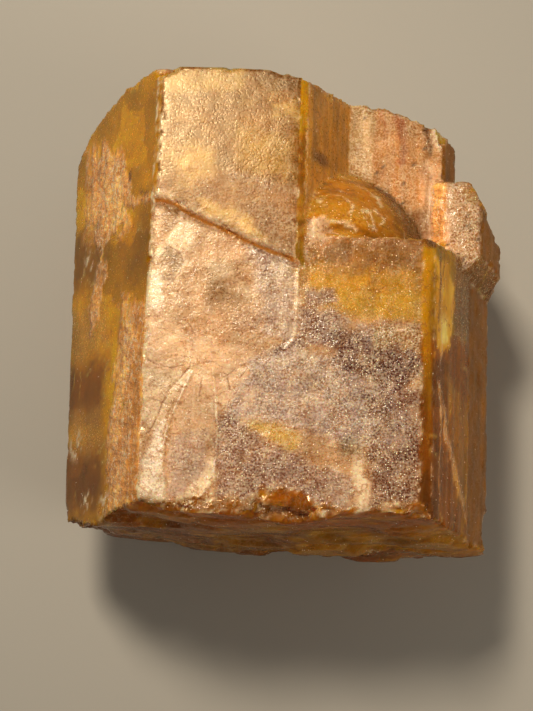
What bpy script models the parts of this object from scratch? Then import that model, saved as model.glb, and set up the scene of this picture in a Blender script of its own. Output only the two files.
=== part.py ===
"""Heliodor specimen: one broken six-sided beryl crystal grown as parallel blocks.

The crystal lies on one of its prism faces. Its long axis runs along Y, Z is up and
lengths are in metres. All the blocks share the same six face directions.
"""

import math

import bmesh
import bpy
from mathutils import Vector, noise

MM = 0.001

# The six prism faces turn by 60 degrees about Y, starting from the top face.
FACE_TURN = math.radians(60)
UP_LEFT = Vector((-math.sin(FACE_TURN), 0.0, math.cos(FACE_TURN)))
UP_RIGHT = Vector((math.sin(FACE_TURN), 0.0, math.cos(FACE_TURN)))
DOWN_RIGHT = Vector((math.sin(FACE_TURN), 0.0, -math.cos(FACE_TURN)))
TOP = Vector((0.0, 0.0, 1.0))

# Heights of the top face of each block, in millimetres above the resting face.
FRONT_TOP = 47.0
BACK_TOP = 47.9
LOW_TOP = 35.5
SIDE_TOP = 36.8

# Where the faces of the blocks cross, as X and Z in millimetres.
LEFT_EDGE = (-19.45, FRONT_TOP)
FRONT_BEVEL = ((20.15, FRONT_TOP), (21.95, 45.6))
BACK_BEVEL = ((1.6, BACK_TOP), (2.85, 47.0))
LOW_RIGHT_EDGE = (24.1, LOW_TOP)
LOW_WALL_X = 26.7
SIDE_RAMP = ((22.15, 35.3), (24.35, SIDE_TOP))
SIDE_RIGHT_EDGE = (29.95, SIDE_TOP)
RIGHT_EDGE = (32.9, 26.9)

# The lower left face narrows towards the front, between these two points.
LEFT_CORNER_FRONT = Vector((-33.1, -31.1, 23.3))
LEFT_CORNER_BACK = Vector((-35.1, 27.5, 19.8))

# The riser between the two top levels runs between these points.
RISER_LEFT = Vector((-17.0, 13.3, FRONT_TOP))
RISER_RIGHT = Vector((1.95, 5.4, FRONT_TOP))
RISER_LEAN = 0.9

# The side block ends in two breaks at its back and a slope at its front.
SIDE_BACK_Y = 21.8
SIDE_BACK_BREAK = (
    Vector((28.4, 20.9, 36.8)),
    Vector((30.6, 17.0, 36.8)),
    Vector((34.5, 12.8, 29.3)),
)
SIDE_FRONT_BREAK = (
    Vector((27.03, 7.5, 36.8)),
    Vector((32.69, 5.0, 27.0)),
    Vector((29.95, 10.3, 36.8)),
)
SIDE_FOOT_Y = -4.0

# The front block falls to the low block as a rounded break, flat first, then steep.
DOME_Y = 10.0
DOME_BRIM = 0.15
DOME_X = 2.95
DOME_RADII = (18.6, 13.6)
DOME_FALL = FRONT_TOP - LOW_TOP
DOME_POWER = 2.6
DOME_START_X = 0.9
DOME_FLOOR = -13.0

# The break at the front end leans outwards on the way down.
FRONT_TOP_Y = -30.0
FRONT_LEAN = 5.2
FRONT_LEAN_DEPTH = 28.0
FRONT_LEFT_X = -6.0
FRONT_LEFT_FALL = 3.6
FRONT_RIGHT_X = 24.0
FRONT_RIGHT_FALL = 1.8
FRONT_FOOT_Z = 12.0
FRONT_FOOT_FALL = 2.6

# The worn end at the back is rounded off to both sides.
BACK_Y = 34.6
BACK_LEFT_X = -26.0
BACK_LEFT_FALL = 7.0
BACK_RIGHT_X = 8.0
BACK_RIGHT_FALL = 4.7
BACK_NECK_X = 5.5
BACK_NECK_HALF = 5.0
BACK_NECK_FALL = 1.3
BACK_FOOT_Z = 22.0
BACK_FOOT_FALL = 4.0

# Waves and shelves of the two end breaks.
WAVE_LENGTH = 13.0
WAVE_HEIGHT = 1.1
SHELF_LENGTH = 3.4
SHELF_HEIGHT = 0.55
GRID_PITCH = 2.4

# Chips along the edges: centre and radii of each rounded bite, in millimetres.
CHIPS = (
    (Vector((1.7, -31.7, 49.3)), Vector((6.1, 5.8, 4.6))),
    (Vector((9.9, -32.9, 49.1)), Vector((4.6, 4.4, 4.1))),
    (Vector((20.4, -31.2, 48.4)), Vector((3.2, 3.8, 3.2))),
    (Vector((-19.3, 35.6, 48.2)), Vector((3.4, 2.6, 2.7))),
    (Vector((-35.8, 25.6, 14.6)), Vector((5.6, 9.0, 5.6))),
    (Vector((-34.9, -31.9, 24.4)), Vector((2.6, 4.6, 5.2))),
    (Vector((34.8, -30.9, 25.6)), Vector((3.4, 4.6, 6.0))),
    (Vector((25.4, 30.2, 36.4)), Vector((2.6, 3.4, 2.6))),
    (Vector((27.4, -8.0, 1.8)), Vector((10.5, 15.0, 5.4))),
    (Vector((-27.5, 12.0, 2.4)), Vector((8.6, 11.0, 5.2))),
)
CHIP_RINGS = 2

# Half sides of the boxes that the blocks are cut from. They differ so that no two
# boxes share a plane.
FRONT_REACH = 52.0
BACK_REACH = 53.0
LOW_REACH = 54.0
SIDE_REACH = 55.0
SHARED_REACH = 51.0
CUTTER_X = (-58.0, 58.0)
CUTTER_Z = (-14.0, 60.0)
CUTTER_Y = 62.0


def xz(point, y=0.0):
    """A point given by X and Z, at one Y."""
    return Vector((point[0], y, point[1]))


def between(first, second):
    """The normal of a face that runs along Y through two X and Z points, facing up."""
    along = Vector((second[0] - first[0], 0.0, second[1] - first[1]))
    normal = Vector((-along.z, 0.0, along.x)).normalized()
    return normal if normal.z > 0.0 else -normal


def through(points, outwards):
    """The normal of the plane through three points, on the side of outwards."""
    normal = (points[1] - points[0]).cross(points[2] - points[0]).normalized()
    return normal if normal.dot(outwards) > 0.0 else -normal


def add_object(name, bm):
    """A new object that holds the bmesh, in millimetres until settle."""
    bmesh.ops.recalc_face_normals(bm, faces=bm.faces)
    mesh = bpy.data.meshes.new(name)
    bm.to_mesh(mesh)
    bm.free()
    obj = bpy.data.objects.new(name, mesh)
    bpy.context.scene.collection.objects.link(obj)
    return obj


def add_block(name, reach, planes):
    """The convex solid left behind all the planes, each a point and a normal."""
    bm = bmesh.new()
    bmesh.ops.create_cube(bm, size=2.0 * reach)
    for point, normal in planes:
        geometry = bm.verts[:] + bm.edges[:] + bm.faces[:]
        bmesh.ops.bisect_plane(
            bm, geom=geometry, plane_co=point, plane_no=normal, clear_outer=True
        )
        open_edges = [edge for edge in bm.edges if edge.is_boundary]
        bmesh.ops.holes_fill(bm, edges=open_edges)
    return add_object(name, bm)


def add_sheet(name, corners, place, axis, outer):
    """A cutter between a curved sheet and a flat side.

    Corners are the two ends of the sheet's grid, place turns a point of the grid into
    a point of the sheet, and the flat side stands at outer along the axis.
    """
    (first_u, first_v), (last_u, last_v) = corners
    columns = round((last_u - first_u) / GRID_PITCH)
    rows = round((last_v - first_v) / GRID_PITCH)
    bm = bmesh.new()
    grid = []
    for row in range(rows + 1):
        v = first_v + (last_v - first_v) * row / rows
        line = []
        for column in range(columns + 1):
            u = first_u + (last_u - first_u) * column / columns
            line.append(bm.verts.new(place(u, v)))
        grid.append(line)
    for row in range(rows):
        for column in range(columns):
            near = grid[row]
            far = grid[row + 1]
            bm.faces.new((near[column], near[column + 1], far[column + 1], far[column]))
    grown = bmesh.ops.extrude_face_region(bm, geom=bm.faces[:])
    for item in grown["geom"]:
        if isinstance(item, bmesh.types.BMVert):
            item.co[axis] = outer
    return add_object(name, bm)


def roughness(x, z, seed):
    """Waves and shelves of a broken surface, in millimetres."""
    wave = noise.noise(Vector((x, z, seed)) / WAVE_LENGTH)
    shelf = noise.noise(Vector((x / WAVE_LENGTH, z / SHELF_LENGTH, seed)))
    return WAVE_HEIGHT * wave + SHELF_HEIGHT * shelf


def front_break(x, z):
    """The Y of the break at the front end."""
    sink = min(max((FRONT_TOP - z) / FRONT_LEAN_DEPTH, 0.0), 1.0)
    lean = FRONT_LEAN
    lean -= FRONT_LEFT_FALL * max(0.0, (FRONT_LEFT_X - x) / 27.0) ** 1.2
    lean -= FRONT_RIGHT_FALL * max(0.0, (x - FRONT_RIGHT_X) / 9.0) ** 1.8
    y = FRONT_TOP_Y - lean * math.sin(0.5 * math.pi * sink)
    y += FRONT_FOOT_FALL * max(0.0, (FRONT_FOOT_Z - z) / FRONT_FOOT_Z) ** 1.5
    return y + roughness(x, z, 3.7)


def back_break(x, z):
    """The Y of the worn end at the back."""
    y = BACK_Y
    y -= BACK_LEFT_FALL * max(0.0, (BACK_LEFT_X - x) / 9.0) ** 2.2
    y -= BACK_RIGHT_FALL * max(0.0, (x - BACK_RIGHT_X) / 17.0) ** 1.5
    y -= BACK_NECK_FALL * math.exp(-(((x - BACK_NECK_X) / BACK_NECK_HALF) ** 2))
    y -= BACK_FOOT_FALL * max(0.0, (BACK_FOOT_Z - z) / BACK_FOOT_Z) ** 1.5
    return y + roughness(x, z, 9.1)


def dome_break(x, y):
    """The Z of the rounded break where the front block falls to the low block."""
    across = max(0.0, x - DOME_X) / DOME_RADII[0]
    along = max(0.0, y - DOME_Y) / DOME_RADII[1]
    radius = math.hypot(across, along)
    z = FRONT_TOP - DOME_BRIM - DOME_FALL * radius**DOME_POWER
    return max(z, DOME_FLOOR)


def apply_boolean(obj, other, operation):
    """Joins, cuts or crosses obj with other, and removes other."""
    modifier = obj.modifiers.new(operation.lower(), "BOOLEAN")
    modifier.operation = operation
    modifier.solver = "EXACT"
    modifier.object = other
    graph = bpy.context.evaluated_depsgraph_get()
    graph.update()
    result = bpy.data.meshes.new_from_object(obj.evaluated_get(graph))
    obj.modifiers.clear()
    bm = bmesh.new()
    bm.from_mesh(result)
    bmesh.ops.triangulate(bm, faces=bm.faces)
    bm.to_mesh(result)
    bm.free()
    spent = obj.data
    obj.data = result
    bpy.data.meshes.remove(spent)
    bpy.data.objects.remove(other)


def front_block():
    """The block at the front, with the widest top face."""
    bevel = between(*FRONT_BEVEL)
    block = add_block(
        "front_block",
        FRONT_REACH,
        (
            (xz(LEFT_EDGE), TOP),
            (xz(FRONT_BEVEL[0]), bevel),
            (xz(FRONT_BEVEL[1]), UP_RIGHT),
        ),
    )
    cutter = add_sheet(
        "dome",
        ((DOME_START_X, DOME_Y), (CUTTER_X[1], CUTTER_Y)),
        lambda x, y: (x, y, dome_break(x, y)),
        2,
        CUTTER_Z[1],
    )
    apply_boolean(block, cutter, "DIFFERENCE")
    return block


def back_block():
    """The block behind the riser on the top face."""
    bevel = between(*BACK_BEVEL)
    run = RISER_RIGHT - RISER_LEFT
    riser = Vector((run.y, -run.x, RISER_LEAN * run.length)).normalized()
    return add_block(
        "back_block",
        BACK_REACH,
        (
            (Vector((0.0, 0.0, BACK_TOP)), TOP),
            (xz(BACK_BEVEL[0]), bevel),
            (xz(BACK_BEVEL[1]), UP_RIGHT),
            (RISER_RIGHT, riser),
        ),
    )


def low_block():
    """The low block at the back right."""
    return add_block(
        "low_block",
        LOW_REACH,
        (
            (Vector((0.0, 0.0, LOW_TOP)), TOP),
            (xz(LOW_RIGHT_EDGE), UP_RIGHT),
            (Vector((LOW_WALL_X, 0.0, 0.0)), Vector((1.0, 0.0, 0.0))),
            (Vector((0.0, -20.0, 0.0)), Vector((0.0, -1.0, 0.0))),
        ),
    )


def side_block():
    """The short block on the right, proud of the face beside it."""
    ramp = between(*SIDE_RAMP)
    back = through(SIDE_BACK_BREAK, Vector((1.0, 1.0, 0.0)))
    front = through(SIDE_FRONT_BREAK, Vector((1.0, -1.0, 1.0)))
    return add_block(
        "side_block",
        SIDE_REACH,
        (
            (xz(SIDE_RIGHT_EDGE), TOP),
            (xz(SIDE_RIGHT_EDGE), UP_RIGHT),
            (xz(SIDE_RAMP[0]), ramp),
            (Vector((0.0, SIDE_BACK_Y, 0.0)), Vector((0.0, 1.0, 0.0))),
            (Vector((0.0, SIDE_FOOT_Y, 0.0)), Vector((0.0, -1.0, 0.0))),
            (SIDE_BACK_BREAK[0], back),
            (SIDE_FRONT_BREAK[0], front),
        ),
    )


def envelope():
    """The faces that all the blocks share."""
    edge = LEFT_CORNER_BACK - LEFT_CORNER_FRONT
    down_left = Vector((-DOWN_RIGHT.x, 0.0, DOWN_RIGHT.z))
    lower_left = (down_left - edge * (down_left.dot(edge) / edge.length_squared)).normalized()
    return add_block(
        "envelope",
        SHARED_REACH,
        (
            (xz(LEFT_EDGE), UP_LEFT),
            (LEFT_CORNER_FRONT, lower_left),
            (Vector((0.0, 0.0, 0.0)), -TOP),
            (xz(RIGHT_EDGE), DOWN_RIGHT),
        ),
    )


def end_cutter(surface, outer_y):
    """The cutter outside a broken end."""
    return add_sheet(
        "end",
        ((CUTTER_X[0], CUTTER_Z[0]), (CUTTER_X[1], CUTTER_Z[1])),
        lambda x, z: (x, surface(x, z), z),
        1,
        outer_y,
    )


def chip(centre, radii):
    """A rounded bite out of an edge."""
    bm = bmesh.new()
    bmesh.ops.create_icosphere(bm, subdivisions=CHIP_RINGS, radius=1.0)
    bmesh.ops.scale(bm, vec=radii, verts=bm.verts)
    bmesh.ops.translate(bm, vec=centre, verts=bm.verts)
    return add_object("chip", bm)


def settle(obj):
    """Stands the mesh's box on the origin, centred, and turns millimetres to metres."""
    corners = [vertex.co for vertex in obj.data.vertices]
    low = Vector([min(corner[axis] for corner in corners) for axis in range(3)])
    high = Vector([max(corner[axis] for corner in corners) for axis in range(3)])
    shift = Vector((-0.5 * (low.x + high.x), -0.5 * (low.y + high.y), -low.z))
    for vertex in obj.data.vertices:
        vertex.co = (vertex.co + shift) * MM


def beryl():
    """The material of the crystal: clear golden-yellow beryl."""
    material = bpy.data.materials.new("golden_beryl")
    material.use_nodes = True
    shader = material.node_tree.nodes["Principled BSDF"]
    shader.inputs["Base Color"].default_value = (0.62, 0.36, 0.10, 1.0)
    shader.inputs["Roughness"].default_value = 0.28
    shader.inputs["Metallic"].default_value = 0.0
    shader.inputs["IOR"].default_value = 1.57
    return material


for leftover in list(bpy.data.objects):
    bpy.data.objects.remove(leftover)

crystal = front_block()
for make_block in (back_block, low_block, side_block):
    apply_boolean(crystal, make_block(), "UNION")
apply_boolean(crystal, envelope(), "INTERSECT")
for surface, side in ((front_break, -CUTTER_Y), (back_break, CUTTER_Y)):
    apply_boolean(crystal, end_cutter(surface, side), "DIFFERENCE")
for place, size in CHIPS:
    apply_boolean(crystal, chip(place, size), "DIFFERENCE")
settle(crystal)
crystal.name = "heliodor_crystal"
crystal.data.name = "heliodor_crystal"
crystal.data.materials.clear()
crystal.data.materials.append(beryl())
for polygon in crystal.data.polygons:
    polygon.material_index = 0
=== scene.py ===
"""Heliodor specimen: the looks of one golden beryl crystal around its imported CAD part."""

import math
from types import SimpleNamespace

import bmesh
import bpy
import numpy as np
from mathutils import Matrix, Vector, bvhtree, kdtree

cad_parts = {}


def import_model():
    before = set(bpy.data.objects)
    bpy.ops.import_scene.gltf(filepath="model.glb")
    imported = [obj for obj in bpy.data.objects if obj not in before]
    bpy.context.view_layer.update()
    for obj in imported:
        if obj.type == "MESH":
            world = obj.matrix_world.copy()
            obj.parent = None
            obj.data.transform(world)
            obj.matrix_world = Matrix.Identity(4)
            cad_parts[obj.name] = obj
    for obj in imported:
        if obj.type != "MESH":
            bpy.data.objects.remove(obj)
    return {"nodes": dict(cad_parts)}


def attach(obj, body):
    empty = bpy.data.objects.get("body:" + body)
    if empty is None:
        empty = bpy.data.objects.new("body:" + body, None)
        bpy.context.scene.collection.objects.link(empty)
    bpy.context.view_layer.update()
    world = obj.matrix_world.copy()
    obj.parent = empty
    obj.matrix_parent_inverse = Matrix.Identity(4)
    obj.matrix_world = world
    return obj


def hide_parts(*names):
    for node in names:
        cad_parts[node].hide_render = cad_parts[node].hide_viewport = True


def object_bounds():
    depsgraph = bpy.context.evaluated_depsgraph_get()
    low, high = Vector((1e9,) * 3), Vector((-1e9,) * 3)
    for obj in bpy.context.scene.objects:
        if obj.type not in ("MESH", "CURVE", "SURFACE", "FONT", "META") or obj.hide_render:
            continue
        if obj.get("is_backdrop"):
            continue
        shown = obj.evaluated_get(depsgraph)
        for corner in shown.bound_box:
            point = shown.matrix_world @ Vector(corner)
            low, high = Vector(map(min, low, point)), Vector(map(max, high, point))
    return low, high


MM = 0.001

# Which way each face of the hexagonal prism looks. Its long axis is Y.
SIN_60 = math.sin(math.radians(60))
PRISM = {
    "front_top": (0, 0, 1),
    "left": (-SIN_60, 0, 0.5),
    "right": (SIN_60, 0, 0.5),
    "under_left": (-SIN_60, 0, -0.5),
    "under_right": (SIN_60, 0, -0.5),
    "under": (0, 0, -1),
}
# How closely a normal follows its face's direction: a flat face's, and a broken end's.
FLUSH = 0.985
ROUGHLY = 0.35

# Z of the tops, and of where the left and right slopes start, in mm.
FRONT_TOP = 47.0
BACK_TOP = 47.9
LOW_TOP = 35.5
SIDE_TOP = 36.8
LEFT_TOP = 47.0
RIGHT_TOP = 45.6
# X of the tops' left and right rims, and Y of the broken front rim.
LEFT_RIM = -19.04
BACK_LEFT_RIM = -18.52
RIGHT_RIM = 20.4
FRONT_RIM = -30.2

# The fine mesh and the sheet of clouds in it, in mm.
VOXEL = 0.52
SHARP_TURN = math.radians(14)
LINE_REACH = 0.55
LINE_ROUNDS = 2
LOWEST = 0.02  # relief goes no lower, so that the crystal stands on the floor
CLOUD_PITCH = 1.0
CLOUD_DEPTH = 2.2
LEAST_CLOUD_DEPTH = 0.7
CLOUD_MARGIN = 0.4  # clouds nearer to the surface than this are left out
THINNEST_CLOUD = 0.08

BERYL_IOR = 1.57
BERYL_ABSORBS = (0.985, 0.92, 0.05, 1)
BERYL_DENSITY = 220
# Painted sparkle: tiny cells of pale colour that stand in for glints off the frosted faces.
SPARKLE_SIZE = 0.3
SPARKLE_SHARE = 0.35
COAT_SHARE = 0.7

CAMERA_PLACE = (-0.53, -38.55, 229.39)
CAMERA_AIM = (-1.65, -8.05, 47.0)
SENSOR_WIDTH = 36
LENS = 65.82
FLOOR_SIZE = 3
FLOOR_COLOUR = (0.43, 0.39, 0.33, 1)
# Each lamp's name, place, aim and size in mm, power in watts, and colour.
LAMPS = [
    ("key", (-70, 125, 310), (0, 0, 30), 60, 1, (1, 0.94, 0.83)),
    ("fill", (270, -130, 210), (0, 0, 20), 160, 0.38, (1, 0.95, 0.86)),
]
STUDIO_COLOUR = (1, 0.97, 0.93, 1)
STUDIO_STRENGTH = 0.2
VIEW_GAMMA = 0.82


# --- Noise ---


def lattice(cell, seed):
    """A steady value in -1 to 1 for each whole-number cell, by an integer hash."""
    mixed = (cell[:, 0] * 73856093) ^ (cell[:, 1] * 19349663) ^ (cell[:, 2] * 83492791)
    mixed = (mixed + seed * 374761393) & 0xFFFFFFFF
    mixed = ((mixed ^ (mixed >> 15)) * 2246822519) & 0xFFFFFFFF
    mixed = ((mixed ^ (mixed >> 13)) * 3266489917) & 0xFFFFFFFF
    mixed = mixed ^ (mixed >> 16)
    return (mixed & 0xFFFF) / 32767.5 - 1


def wave(points, size, seed):
    """Smooth noise in -1 to 1 with bumps of the given size in mm."""
    scaled = points / size
    cell = np.floor(scaled).astype(np.int64)
    part = scaled - cell
    part = part * part * (3 - 2 * part)
    total = np.zeros(len(points))
    for corner in range(8):
        step = np.array([(corner >> axis) & 1 for axis in range(3)])
        weight = np.prod(np.where(step, part, 1 - part), axis=1)
        total += weight * lattice(cell + step, seed)
    return total


def fractal(points, size, seed, octaves=4):
    """Noise summed over octaves, roughly in -1 to 1. Each use has a seed of its own."""
    total = np.zeros(len(points))
    gain = 0.6
    for octave in range(octaves):
        total += gain * wave(points, np.asarray(size, float) / 2**octave, seed + octave)
        gain *= 0.55
    return total


def cells(points, size, seed):
    """Distances to the nearest and second nearest of scattered points, in cell sizes,
    and a steady value for the nearest."""
    scaled = points / size
    base = np.floor(scaled).astype(np.int64)
    first, second = np.full((2, len(points)), 9.0)
    value = np.zeros(len(points))
    for index in range(27):
        step = np.array([index % 3 - 1, index // 3 % 3 - 1, index // 9 - 1])
        cell = base + step
        spot = np.stack([0.5 + 0.45 * lattice(cell, seed + axis) for axis in range(3)], 1)
        gap = np.linalg.norm(cell + spot - scaled, axis=1)
        nearer = gap < first
        second = np.where(nearer, first, np.minimum(second, gap))
        value = np.where(nearer, lattice(cell, seed + 7), value)
        first = np.where(nearer, gap, first)
    return first, second, value


def stretched(points, x, y, z):
    """The points with their axes scaled, so that noise on them is drawn out."""
    return points * np.array([x, y, z])


def smooth(low, high, value):
    """0 below low, 1 above high, smooth between."""
    share = np.clip((value - low) / (high - low), 0, 1)
    return share * share * (3 - 2 * share)


# --- Shapes on a face ---


def path_distance(spots, path):
    """Distance in mm from each spot to a path of straight pieces."""
    points = np.asarray(path, float)
    best = np.full(len(spots), 1e9)
    for start, end in zip(points, points[1:]):
        run = end - start
        share = np.clip(((spots - start) @ run) / max(run @ run, 1e-9), 0, 1)
        gap = spots - (start + share[:, None] * run)
        best = np.minimum(best, np.hypot(gap[:, 0], gap[:, 1]))
    return best


def depth_in(spots, outline):
    """How far in mm each spot lies inside the outline, less than 0 outside it."""
    points = np.asarray(outline, float)
    inside = np.zeros(len(spots), bool)
    x, y = spots[:, 0], spots[:, 1]
    for (x1, y1), (x2, y2) in zip(points, np.roll(points, -1, axis=0)):
        height = y2 - y1 if abs(y2 - y1) > 1e-9 else 1e-9
        crosses = (y1 > y) != (y2 > y)
        inside ^= crosses & (x < (x2 - x1) * (y - y1) / height + x1)
    gap = path_distance(spots, [*outline, outline[0]])
    return np.where(inside, gap, -gap)


def curve(points, step=0.6):
    """A smooth curve through the given points, as short straight pieces."""
    before = 2 * np.array(points[0]) - points[1]
    after = 2 * np.array(points[-1]) - points[-2]
    whole = np.array([before, *points, after], float)
    found = []
    for a, b, c, d in zip(whole, whole[1:], whole[2:], whole[3:]):
        count = max(2, int(np.hypot(*(c - b)) / step))
        for s in np.linspace(0, 1, count, endpoint=False):
            square = (2 * a - 5 * b + 4 * c - d) * s * s
            found.append(0.5 * (2 * b + (c - a) * s + square + (3 * b - a - 3 * c + d) * s**3))
    found.append(whole[-2])
    return found


# --- What shows on each face, in mm ---

# On the top faces a spot is X and Y. On the left and right faces it is how far down the
# slope it lies, and Y. On the front end it is X and Z.
GROOVE = curve([(-18.9, 14.3), (-16.4, 13.8), (-12.7, 11.9), (-8.3, 10), (-3.9, 8), (2.4, 5.8)])
SCALLOP = curve([(2.4, 5.8), (4.1, 5.8), (6.2, 8.4), (9, 10.3)])
CREASE = curve([(2.5, 5.8), (2.4, 0.2), (2.2, -5), (0.9, -7)])
RED_CRACK = curve([(-12.6, -10.3), (-14.6, -12.6), (-15.9, -14.9), (-16.9, -17.8), (-17.9, -19.8)])
LEAF_EDGE = curve([(-12.1, -10.8), (-14.2, -15.6), (-15.5, -19.9), (-15.6, -24.1), (-15.4, -27.6)])
LEAF_TWO = curve(
    [(-9.2, -10.4), (-8.6, -14.7), (-8.2, -18.9), (-8.4, -23.9), (-9.8, -27.7), (-12.5, -29.8)]
)
SMALL_CRACKS = [curve(line) for line in (
    [(-18.9, 5.4), (-16.4, 7.2), (-14.2, 5.6), (-14.7, 3.2), (-16.2, 1.6)],
    [(-18.6, -9.2), (-16.8, -10.1), (-15.1, -10.2), (-13.2, -9.9)],
    [(-11.1, -9.6), (-10.7, -12.2), (-10.9, -14.3)],
    [(-8.5, -10.4), (-7.1, -11.1), (-6, -10.1)],
    [(-7.1, -11.1), (-6.7, -13.2)],
    [(-5.4, -11.5), (-4.1, -9.8), (-2.3, -9.2)],
    [(-18.6, -14.6), (-16.9, -15), (-15.3, -15.6)],
    [(-14.7, 1), (-14.2, -2), (-12.9, -4), (-11.8, -5.6)],
    [(-9.7, -3.1), (-10.1, -4.8), (-9.5, -6.6)],
    [(-3.4, 8.6), (-2.3, 6.2), (-1.8, 4.6)],
    [(-2.5, 29.1), (-0.3, 29.6), (1.9, 29.4)],
)]
STREAKS = [curve(line) for line in (
    [(2.2, 5.8), (2.5, -2.8), (1.2, -6.4), (-0.9, -6.5)],
    [(-5.3, -10.6), (-2.3, -9), (1, -8.6)],
    [(0.7, -9), (3.1, -8.1), (5.7, -9)],
    [(1.4, -10.4), (4.6, -9.7), (7.4, -10.4)],
    [(-3.2, 4.4), (-3.6, 0.5), (-2.6, -3.6)],
    [(0.4, 5.2), (0.2, 0), (0.6, -4.4)],
)]
SCRATCHES = [curve(line) for line in (
    [(13.2, -4.6), (13.3, -8), (13.2, -11.4)],
    [(13.8, -19.2), (15.2, -20.8), (16.8, -22.6)],
    [(15.4, -19.4), (16.6, -20.6), (17.6, -22.2)],
    [(13.8, -21.4), (15.6, -20.6), (17.4, -20.2)],
    [(11.6, -3.2), (14.8, -3.9), (18.4, -3.6)],
)]
DOME_LINES = [curve(line) for line in (
    [(12.4, 14.9), (13.2, 13.6), (13.6, 11.8)],
    [(9.2, 16), (10.1, 15.2), (9.8, 13.9)],
    [(13.2, 15), (14.4, 14.6), (15.1, 13.9), (14.5, 12.8)],
    [(5.4, 13), (7, 12.2), (9.4, 12), (11, 10.9)],
)]
TOP_LINES = [GROOVE, SCALLOP, CREASE, RED_CRACK, LEAF_EDGE, LEAF_TWO, *SMALL_CRACKS, *SCRATCHES]


# --- The fine mesh ---


def vectors_of(mesh, kind):
    """The mesh's point vectors of one kind."""
    flat = np.empty(len(mesh.vertices) * 3, np.float32)
    mesh.vertices.foreach_get(kind, flat)
    return flat.reshape(-1, 3).astype(float)


def points_of(mesh):
    """The mesh's points in mm."""
    return vectors_of(mesh, "co") / MM


def set_points(mesh, points):
    """Moves the mesh's points to these places in mm."""
    mesh.vertices.foreach_set("co", (points * MM).astype(np.float32).ravel())
    mesh.update()


def opened(mesh):
    """The mesh as a bmesh, to work on."""
    work = bmesh.new()
    work.from_mesh(mesh)
    return work


def merged_copy(node):
    """A bmesh of the CAD node with the points that share a place made one."""
    work = opened(node.data)
    bmesh.ops.remove_doubles(work, verts=work.verts, dist=1e-6)
    return work


def edge_points(work, step=0.2):
    """Points along the sharp edges of the solid, in mm."""
    found = []
    for edge in work.edges:
        if len(edge.link_faces) != 2 or edge.calc_face_angle() < SHARP_TURN:
            continue
        start, end = (np.array(v.co) / MM for v in edge.verts)
        count = max(2, int(np.linalg.norm(end - start) / step))
        for share in np.linspace(0, 1, count):
            found.append(start + share * (end - start))
    return found


def fine_solid(work, name, pitch):
    """The solid remeshed into small even squares, as a new object."""
    mesh = bpy.data.meshes.new(name)
    work.to_mesh(mesh)
    piece = bpy.data.objects.new(name, mesh)
    bpy.context.scene.collection.objects.link(piece)
    remesh = piece.modifiers.new("remesh", "REMESH")
    remesh.mode = "VOXEL"
    remesh.voxel_size = pitch * MM
    remesh.use_smooth_shade = True
    graph = bpy.context.evaluated_depsgraph_get()
    fine = bpy.data.meshes.new_from_object(piece.evaluated_get(graph))
    piece.modifiers.clear()
    piece.data = fine
    fine.name = name
    return piece


def refine(piece):
    """Splits the squares along the thin lines on the top faces, so that they can be thin."""
    for _ in range(LINE_ROUNDS):
        work = opened(piece.data)
        work.faces.ensure_lookup_table()
        middle = np.array([face.calc_center_median() for face in work.faces]) / MM
        gap = np.full(len(middle), 1e9)
        for line in TOP_LINES:
            gap = np.minimum(gap, path_distance(middle[:, :2], line))
        near = np.flatnonzero((gap < LINE_REACH) & (middle[:, 2] > FRONT_TOP - 1.5))
        edges = {edge for index in near for edge in work.faces[index].edges}
        bmesh.ops.subdivide_edges(work, edges=list(edges), cuts=1, use_grid_fill=True)
        work.to_mesh(piece.data)
        work.free()


# --- Which face a point lies on ---


def face_shares(points, work):
    """For each point of the fine mesh, which of the crystal's faces it came from."""
    tree = bvhtree.BVHTree.FromBMesh(work)
    normals = np.array([tree.find_nearest(Vector(p * MM))[1] for p in points])
    x, y, z = points.T
    towards = {name: normals @ np.array(way, float) for name, way in PRISM.items()}
    flush = {name: share > FLUSH for name, share in towards.items()}
    up, right = flush["front_top"], flush["right"]
    step = 0.42  # just under half of the step up to the back block
    # The heights, and where each block ends in X and Y, tell faces that look one way apart.
    faces = {
        "front_top": up & (abs(z - FRONT_TOP) < step),
        "back_top": up & (z > FRONT_TOP + step),
        "low_top": up & (abs(z - LOW_TOP) < 0.6),
        "side_top": up & (abs(z - SIDE_TOP) < 0.6),
        "riser_wall": right & (z > LOW_TOP - 0.5) & (x < 11),
        "low_wall": right & (z < LOW_TOP + 0.3) & (y > 9) & (x < 27.5),
        "side_wall": right & (x > 29) & (z > 15),
        **{name: flush[name] for name in ("left", "under_left", "under_right", "under")},
    }
    taken = np.any(list(faces.values()), axis=0)
    faces["right"] = right & ~taken
    taken |= right
    faces["front_end"] = ~taken & (normals[:, 1] < -ROUGHLY) & (y < -18)
    taken |= faces["front_end"]
    faces["dome"] = ~taken & (x > 0.5) & (x < 22.6) & (y > 9) & (y < 25) & (z > LOW_TOP - 0.4)
    taken |= faces["dome"]
    faces["back_end"] = ~taken & (normals[:, 1] > ROUGHLY) & (y > 14)
    taken |= faces["back_end"]
    # What is left, such as a worn edge, goes to the prism face that it looks most like.
    nearest = np.argmax(list(towards.values()), axis=0)
    for index, name in enumerate(towards):
        faces[name] = faces[name] | (~taken & (nearest == index))
    return SimpleNamespace(**{name: mask.astype(float) for name, mask in faces.items()})


def tree_of(places):
    """A search tree of the places."""
    tree = kdtree.KDTree(len(places))
    for index, place in enumerate(places):
        tree.insert(Vector(place), index)
    tree.balance()
    return tree


def edge_distance(points, sharp):
    """Distance in mm from each point to the nearest sharp edge of the solid."""
    tree = tree_of(sharp)
    return np.array([tree.find(Vector(p))[2] for p in points])


# --- Looks ---


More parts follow.
